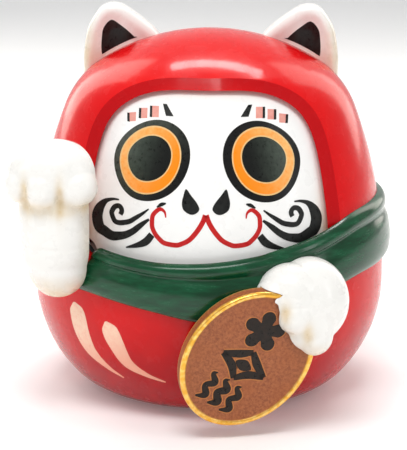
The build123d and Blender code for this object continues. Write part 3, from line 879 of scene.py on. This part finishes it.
def over_hood(outline, depth=4.4, gap=0.9):
    """The outline with its low points lifted clear of the hood's skin at that depth."""
    side = body_side()[::-1][:3 * ARC_STEPS]
    lifted = []
    for x, z in smooth_curve(outline, 6, closed=True):
        hood = float(np.interp(math.hypot(x, depth), side[:, 0], side[:, 1]))
        lifted.append((x, max(z, hood + gap)))
    return lifted


def mirrored(shape):
    points, faces = shape
    return [(-x, z) for x, z in points], faces


def painted(name, shapes, surface, paint, lift, place=None, toward=(0, 1, 0)):
    """One layer of paint, lift millimetres thick, from flat shapes laid on the surface. Shapes are in
    front view unless place turns their plane into the frame."""
    shape = bmesh.new()
    lifts = shape.verts.layers.float.new("lift")
    for points, faces in shapes:
        layers = []
        for level in (lift, FILM_FOOT):
            row = []
            for u, v in points:
                spot = place @ Vector((u, v, CAST_FROM_COIN)) if place else Vector((u, CAST_FROM_FRONT, v))
                corner = shape.verts.new(spot * MM)
                corner[lifts] = level * MM
                row.append(corner)
            layers.append(row)
        top, low = layers
        made = [shape.faces.new([top[i] for i in face]) for face in faces]
        for face in faces:
            shape.faces.new([low[i] for i in reversed(face)])
        slot_of = {corner: i for i, corner in enumerate(top)}
        rims = {edge for face in made for edge in face.edges if len(edge.link_faces) == 1}
        for edge in rims:
            a, b = (slot_of[corner] for corner in edge.verts)
            shape.faces.new([top[a], top[b], low[b], low[a]])
    mesh = bpy.data.meshes.new(name)
    shape.to_mesh(mesh)
    shape.free()
    mesh.materials.append(paint)
    film = add_object(name, mesh)
    lay = film.modifiers.new("lay", "NODES")
    lay.node_group = PAINT_TREE
    sockets = {item.name: item.identifier for item in PAINT_TREE.interface.items_tree
               if item.item_type == "SOCKET" and item.in_out == "INPUT"}
    lay[sockets["Surface"]] = surface
    lay[sockets["Toward"]] = toward
    lay[sockets["Paint"]] = paint
    baked(film)
    shape = bmesh.new()
    shape.from_mesh(film.data)
    bmesh.ops.recalc_face_normals(shape, faces=shape.faces)
    shape.to_mesh(film.data)
    shape.free()
    return sharpen(film, 50)


EYE = [(-21.9, 60.8), (-21.5, 64.0), (-19.8, 67.1), (-17.2, 69.6), (-13.9, 71.2), (-11.3, 71.7),
       (-8.1, 71.4), (-5.5, 69.6), (-4.0, 67.1), (-3.6, 63.8), (-4.4, 60.3), (-6.5, 57.1), (-9.2, 54.7),
       (-13.7, 53.3), (-17.4, 53.9), (-20.1, 56.0)]
EYE_MIDDLE, IRIS_MIDDLE, PUPIL_MIDDLE = (-12.6, 62.6), (-12.95, 62.7), (-13.1, 63.1)
IRIS_SHARE, PUPIL_SHARE = (7.5 / 9.1, 8.1 / 9.4), (5.25 / 9.1, 5.35 / 9.4)
MOUTH = [(-0.1, 51.2), (-0.6, 49.8), (-1.5, 48.2), (-2.7, 46.6), (-3.9, 45.4), (-5.4, 44.6),
         (-6.8, 44.2), (-9.4, 44.5), (-10.6, 45.3), (-11.6, 46.4), (-12.3, 47.8), (-12.4, 49.2),
         (-12.2, 50.6), (-11.4, 51.6), (-10.6, 52.1), (-10.0, 52.0), (-9.4, 51.4), (-9.2, 50.3)]
NOSTRIL = [(-4.6, 56.9), (-5.2, 55.3), (-5.5, 53.7), (-5.1, 52.2), (-3.6, 51.3), (-2.3, 51.5), (-1.5, 52.5),
           (-2.1, 53.9), (-3.4, 55.5)]
TICK = [(-11.3, 52.5), (-10.2, 53.2), (-9.2, 53.5)]
COMMA = [(-20.3, 53.2), (-21.8, 53.1), (-23.5, 52.4), (-24.8, 50.9), (-25.5, 49.1), (-25.5, 47.7),
         (-25.0, 46.2), (-23.9, 45.6), (-22.0, 44.8), (-20.3, 45.0), (-18.6, 45.5), (-16.9, 46.5),
         (-15.5, 47.7), (-14.3, 48.7), (-13.1, 49.6)]
CURL = [(-13.2, 51.9), (-14.6, 50.8), (-16.0, 49.8), (-17.6, 48.7), (-19.1, 48.2), (-20.3, 48.0),
        (-21.3, 48.3), (-22.0, 49.8), (-21.8, 50.7), (-21.2, 51.5), (-20.3, 51.8), (-19.7, 51.3),
        (-19.6, 50.6), (-19.9, 49.9)]
WHISKER = [(-12.4, 46.2), (-13.8, 44.5), (-15.7, 43.5), (-18.5, 42.6)]
LASHES = [((-18.7, 72.4), (-16.6, 72.8), (-18.6, 70.6), (-16.6, 70.9)),
          ((-15.9, 73.7), (-13.9, 73.9), (-15.9, 71.6), (-13.9, 71.8)),
          ((-13.3, 74.4), (-11.2, 74.5), (-13.3, 72.1), (-11.2, 72.2))]
LASH_EDGE = 0.55
LASH_WEDGE = ((-10.3, 75.0), (-9.4, 75.0), (-9.5, 72.6), (-7.7, 72.6))
BODY_STROKES = [([(-31.2, 27.7), (-30.4, 25.2), (-29.3, 20.4), (-27.1, 15.9), (-23.2, 12.4), (-19.3, 10.1)],
                 [0.5, 3.2, 3.9, 3.8, 3.3, 2.5, 1.5, 0.8, 0.3]),
                ([(-23.3, 24.9), (-22.2, 22.6), (-20.9, 19.7), (-18.2, 14.9), (-13.8, 12.2), (-9.2, 10.6)],
                 [0.5, 3.4, 4.1, 4.0, 3.4, 2.5, 1.5, 0.8, 0.3])]
EAR_INNER = [(-26.9, 81.4), (-26.9, 85.9), (-26.3, 88.3), (-24.5, 90.0), (-22.4, 88.8), (-20.0, 86.9),
             (-18.2, 84.7), (-18.4, 82.0), (-20.0, 78.0), (-25.0, 77.5)]
EAR_INNER_MIDDLE = (-23.0, 86.0)


def both_sides(shapes):
    return shapes + [mirrored(shape) for shape in shapes]


def eased(outline, rounds=2):
    """The closed outline with its unevenness smoothed out."""
    line = np.array(smooth_curve(outline, 5, closed=True))
    for _ in range(rounds):
        line = sum(np.roll(line, shift, axis=0) for shift in range(-4, 5)) / 9
    return [tuple(spot) for spot in line]


def eye_spot(middle, share):
    """The eye's rounded outline, carried to another middle and smaller halves."""
    outline = [(middle[0] + (x - EYE_MIDDLE[0]) * share[0], middle[1] + (z - EYE_MIDDLE[1]) * share[1])
               for x, z in eased(EYE)]
    return patch(outline, 1, 12, middle)


def petal_ring(middle, count, reach, size, turn=0.0):
    """Blossom outline with count round petals."""
    spots = []
    for i in range(count * 8):
        a = 2 * math.pi * i / (count * 8) + turn
        r = reach + size * abs(math.cos(count * (a - turn) / 2)) ** 0.7
        spots.append((middle[0] + r * math.cos(a), middle[1] + r * math.sin(a)))
    return spots


BLOSSOM_AT = (7.6, 1.2)
LOZENGE_TIPS = [(2.2, 0), (-1.6, 6.0), (-5.4, 0), (-1.6, -6.0)]
LOZENGE_AT = (-1.6, 0)
DOT_HALF = (1.4, 2.2)
WAVES = [(3.6, 1.7), (0.1, 2.0), (-3.4, 1.7)]


def coin_marks(grow=0.0):
    """Three plain ornaments in a row: a blossom, a hollow lozenge with a dot, and three rolling waves,
    each line grow millimetres wider."""
    blossom = patch(petal_ring(BLOSSOM_AT, 5, 2.3 + grow / 2, 2.7, 0.3), 2, 6, BLOSSOM_AT)
    lozenge = []
    for start, end in zip(LOZENGE_TIPS, LOZENGE_TIPS[1:] + LOZENGE_TIPS[:1]):
        halfway = ((start[0] + end[0] + 0.6) * 0.42 - 0.25, (start[1] + end[1]) * 0.42)
        lozenge.append(stroke([start, halfway, end], [1.3 + grow, 2.0 + grow, 1.3 + grow], 8))
    across, up = (half + grow / 2 for half in DOT_HALF)
    x, z = LOZENGE_AT
    dot = patch([(x + across, z), (x, z + up), (x - across, z), (x, z - up)], 6, 4, LOZENGE_AT)
    waves = []
    for level, size in WAVES:
        path = [(-13.6, level + 1.3), (-12.2, level - 0.6), (-10.3, level + 0.9),
                (-8.6, level - 0.6), (-7.0, level + 1.1), (-6.2, level + 0.3)]
        widths = [width + grow for width in (0.5, size, size * 0.8, size, 1.0, 0.3)]
        waves.append(stroke(path, widths, 8))
    return [blossom, dot] + lozenge + waves


# ---------------------------------------------------------------- making
make_camera()
make_studio()

RED = red_lacquer()
WHITE = white_paint()
GREEN = green_paint()
COIN = coin_paint()
# Painted sheen: the eye outline, the pupils and the irises are paler on their side towards the light.
BLACK = ink("eye_black", (0.006, 0.006, 0.006), (0.055, 0.065, 0.05), (-0.8, 0.6), (-12.6, 62.6), 8)
PUPIL_TONES = (0.006, 0.007, 0.006), (0.055, 0.075, 0.055)
IRIS_TONES = (0.95, 0.25, 0.004), (0.95, 0.50, 0.16)
PUPIL = ink("pupil_black", *PUPIL_TONES, (-1.0, 0.3), (-14.5, 63.5), 5)
PUPIL_RIGHT = ink("pupil_black_right", *PUPIL_TONES, (1.0, 0.3), (14.5, 63.5), 5)
IRIS = ink("iris_orange", *IRIS_TONES, (-1.0, 0.6), (-13.5, 63.5), 9)
IRIS_RIGHT = ink("iris_orange_right", *IRIS_TONES, (1.0, 0.6), (13.5, 63.5), 9)
IRIS_LINE = ink("iris_pale_line", (0.80, 0.50, 0.20), (0.90, 0.66, 0.38))
BRUSH_BLACK = ink("brush_black", (0.008, 0.008, 0.008), (0.035, 0.04, 0.035))
MOUTH_RED = ink("mouth_red", (0.50, 0.010, 0.012), (0.66, 0.04, 0.03))
LASH_PINK = ink("lash_pink", (0.75, 0.30, 0.25), (0.85, 0.50, 0.42))
# Painted light: the pale strokes are paler towards their upper end.
STROKE_PALE = ink("stroke_pale", (0.85, 0.40, 0.28), (0.93, 0.66, 0.50), (-0.4, 1.0), (-22, 19), 8)
COIN_INK = ink("coin_ink", (0.010, 0.007, 0.005), (0.05, 0.025, 0.014))
COIN_HALO = ink("coin_halo", (0.50, 0.17, 0.045), (0.62, 0.26, 0.08))
STEEL = plain("steel", (0.42, 0.43, 0.45), (0.60, 0.61, 0.63), 0.3, 900, Metallic=1.0)
BASE_BLACK = plain("base_black_plastic", (0.012, 0.012, 0.013), (0.03, 0.03, 0.032), 0.5, 700)
RUBBER = plain("ring_rubber", (0.015, 0.015, 0.016), (0.035, 0.035, 0.036), 0.8, 1200)
IRON = plain("cast_iron", (0.07, 0.07, 0.075), (0.16, 0.155, 0.15), 0.6, 500, Metallic=0.8)

CARRIED = {
    "front_shell": RED, "rear_shell": RED, "face_plate": face_paint(),
    "face_screws": STEEL, "ear_screws": STEEL, "paw_screws": STEEL, "coin_screw": STEEL,
    "base_screws": STEEL, "weight_screw": STEEL, "arm_screw": STEEL, "arm_washer": STEEL,
    "arm_friction_ring": RUBBER, "base_plate": BASE_BLACK, "base_weight": IRON,
}
for node_name, finish in CARRIED.items():
    for material_slot in NODES[node_name].material_slots:
        material_slot.material = finish

PAINT_TREE = paint_tree()
body = body_form(0.0)
left_ear = make_ear("left_ear", -1, body)
right_ear = make_ear("right_ear", 1, body)
scarf = make_scarf()
arm = make_arm()
coin = make_coin()
coin_room = coin_form("coin_room", [(0, -2.0, 0), (0, 2.0, 0)], 0.1)
paw = make_coin_paw(body, scarf, coin_room)
drop(body, coin_room)

finish_piece(left_ear, "body", "white_gloss", "ear_left")
finish_piece(right_ear, "body", "white_gloss", "ear_right")
finish_piece(scarf, "body", "green_gloss", "scarf")
finish_piece(arm, "arm", "white_gloss", "raised_arm")
finish_piece(coin, "body", "coin_gold", "coin")
finish_piece(paw, "body", "white_gloss", "coin_paw")

face_plate, shell = NODES["face_plate"], NODES["front_shell"]
left_outline = eye_spot(EYE_MIDDLE, (1.02, 1.02))
left_iris = eye_spot(IRIS_MIDDLE, IRIS_SHARE)
left_inner = eye_spot(IRIS_MIDDLE, (IRIS_SHARE[0] * 0.955, IRIS_SHARE[1] * 0.955))
left_border = eye_spot(PUPIL_MIDDLE, (PUPIL_SHARE[0] * 1.06, PUPIL_SHARE[1] * 1.06))
left_pupil = eye_spot(PUPIL_MIDDLE, PUPIL_SHARE)
ear_inside = patch(over_hood(EAR_INNER), 1, 12, EAR_INNER_MIDDLE)
whiskers = [stroke(TICK, [0.3, 0.8, 0.3]),
            stroke(COMMA, [0.3, 0.9, 2.3, 2.7, 2.5, 2.0, 1.5, 1.2, 0.5]),
            stroke(CURL, [0.3, 0.9, 1.15, 1.15, 1.1, 1.1, 1.1, 1.0]),
            stroke(WHISKER, [1.5, 1.7, 1.2, 0.3])]
lash_edges = [box_patch(high, (high[0] + LASH_EDGE, high[1]), low, (low[0] + LASH_EDGE, low[1]))
              for high, _, low, _ in LASHES]
marks = [
    ("eye_outlines", both_sides([left_outline]), face_plate, BLACK, 0.04, "base_black"),
    ("iris_lines", both_sides([left_iris]), face_plate, IRIS_LINE, 0.07, "white_gloss"),
    ("left_iris", [left_inner], face_plate, IRIS, 0.10, "coin_gold"),
    ("right_iris", [mirrored(left_inner)], face_plate, IRIS_RIGHT, 0.10, "coin_gold"),
    ("iris_borders", both_sides([left_border]), face_plate, IRIS_LINE, 0.13, "white_gloss"),
    ("left_pupil", [left_pupil], face_plate, PUPIL, 0.16, "base_black"),
    ("right_pupil", [mirrored(left_pupil)], face_plate, PUPIL_RIGHT, 0.16, "base_black"),
    ("mouth_line", both_sides([stroke(MOUTH, [1.15, 1.15, 1.1, 1.1, 1.05, 1.0, 0.8, 0.25])]),
     face_plate, MOUTH_RED, 0.05, "red_gloss"),
    ("nostrils", both_sides([patch(NOSTRIL, 6, 6)]), face_plate, BRUSH_BLACK, 0.08, "base_black"),
    ("whisker_marks", both_sides(whiskers), face_plate, BRUSH_BLACK, 0.09, "base_black"),
    ("lash_bars", both_sides([box_patch(*bar) for bar in LASHES]), face_plate, LASH_PINK, 0.05,
     "red_gloss"),
    ("lash_edges", both_sides(lash_edges + [box_patch(*LASH_WEDGE)]), face_plate, BRUSH_BLACK, 0.08,
     "base_black"),
    ("body_strokes", [stroke(path, widths) for path, widths in BODY_STROKES], shell, STROKE_PALE, 0.06,
     "white_gloss"),
    ("left_ear_inside", [ear_inside], left_ear, BRUSH_BLACK, 0.05, "base_black"),
    ("right_ear_inside", [mirrored(ear_inside)], right_ear, BRUSH_BLACK, 0.05, "base_black"),
]
for mark, shapes, surface, paint, lift, slot in marks:
    finish_piece(painted(mark, shapes, surface, paint, lift), "body", slot)
into_coin = tuple(-COIN_OUT)
halo = painted("coin_ornament_edges", coin_marks(0.55), coin, COIN_HALO, 0.03, COIN_PLACE, into_coin)
finish_piece(halo, "body", "coin_gold")
ornaments = painted("coin_ornaments", coin_marks(), coin, COIN_INK, 0.08, COIN_PLACE, into_coin)
finish_piece(ornaments, "body", "base_black")
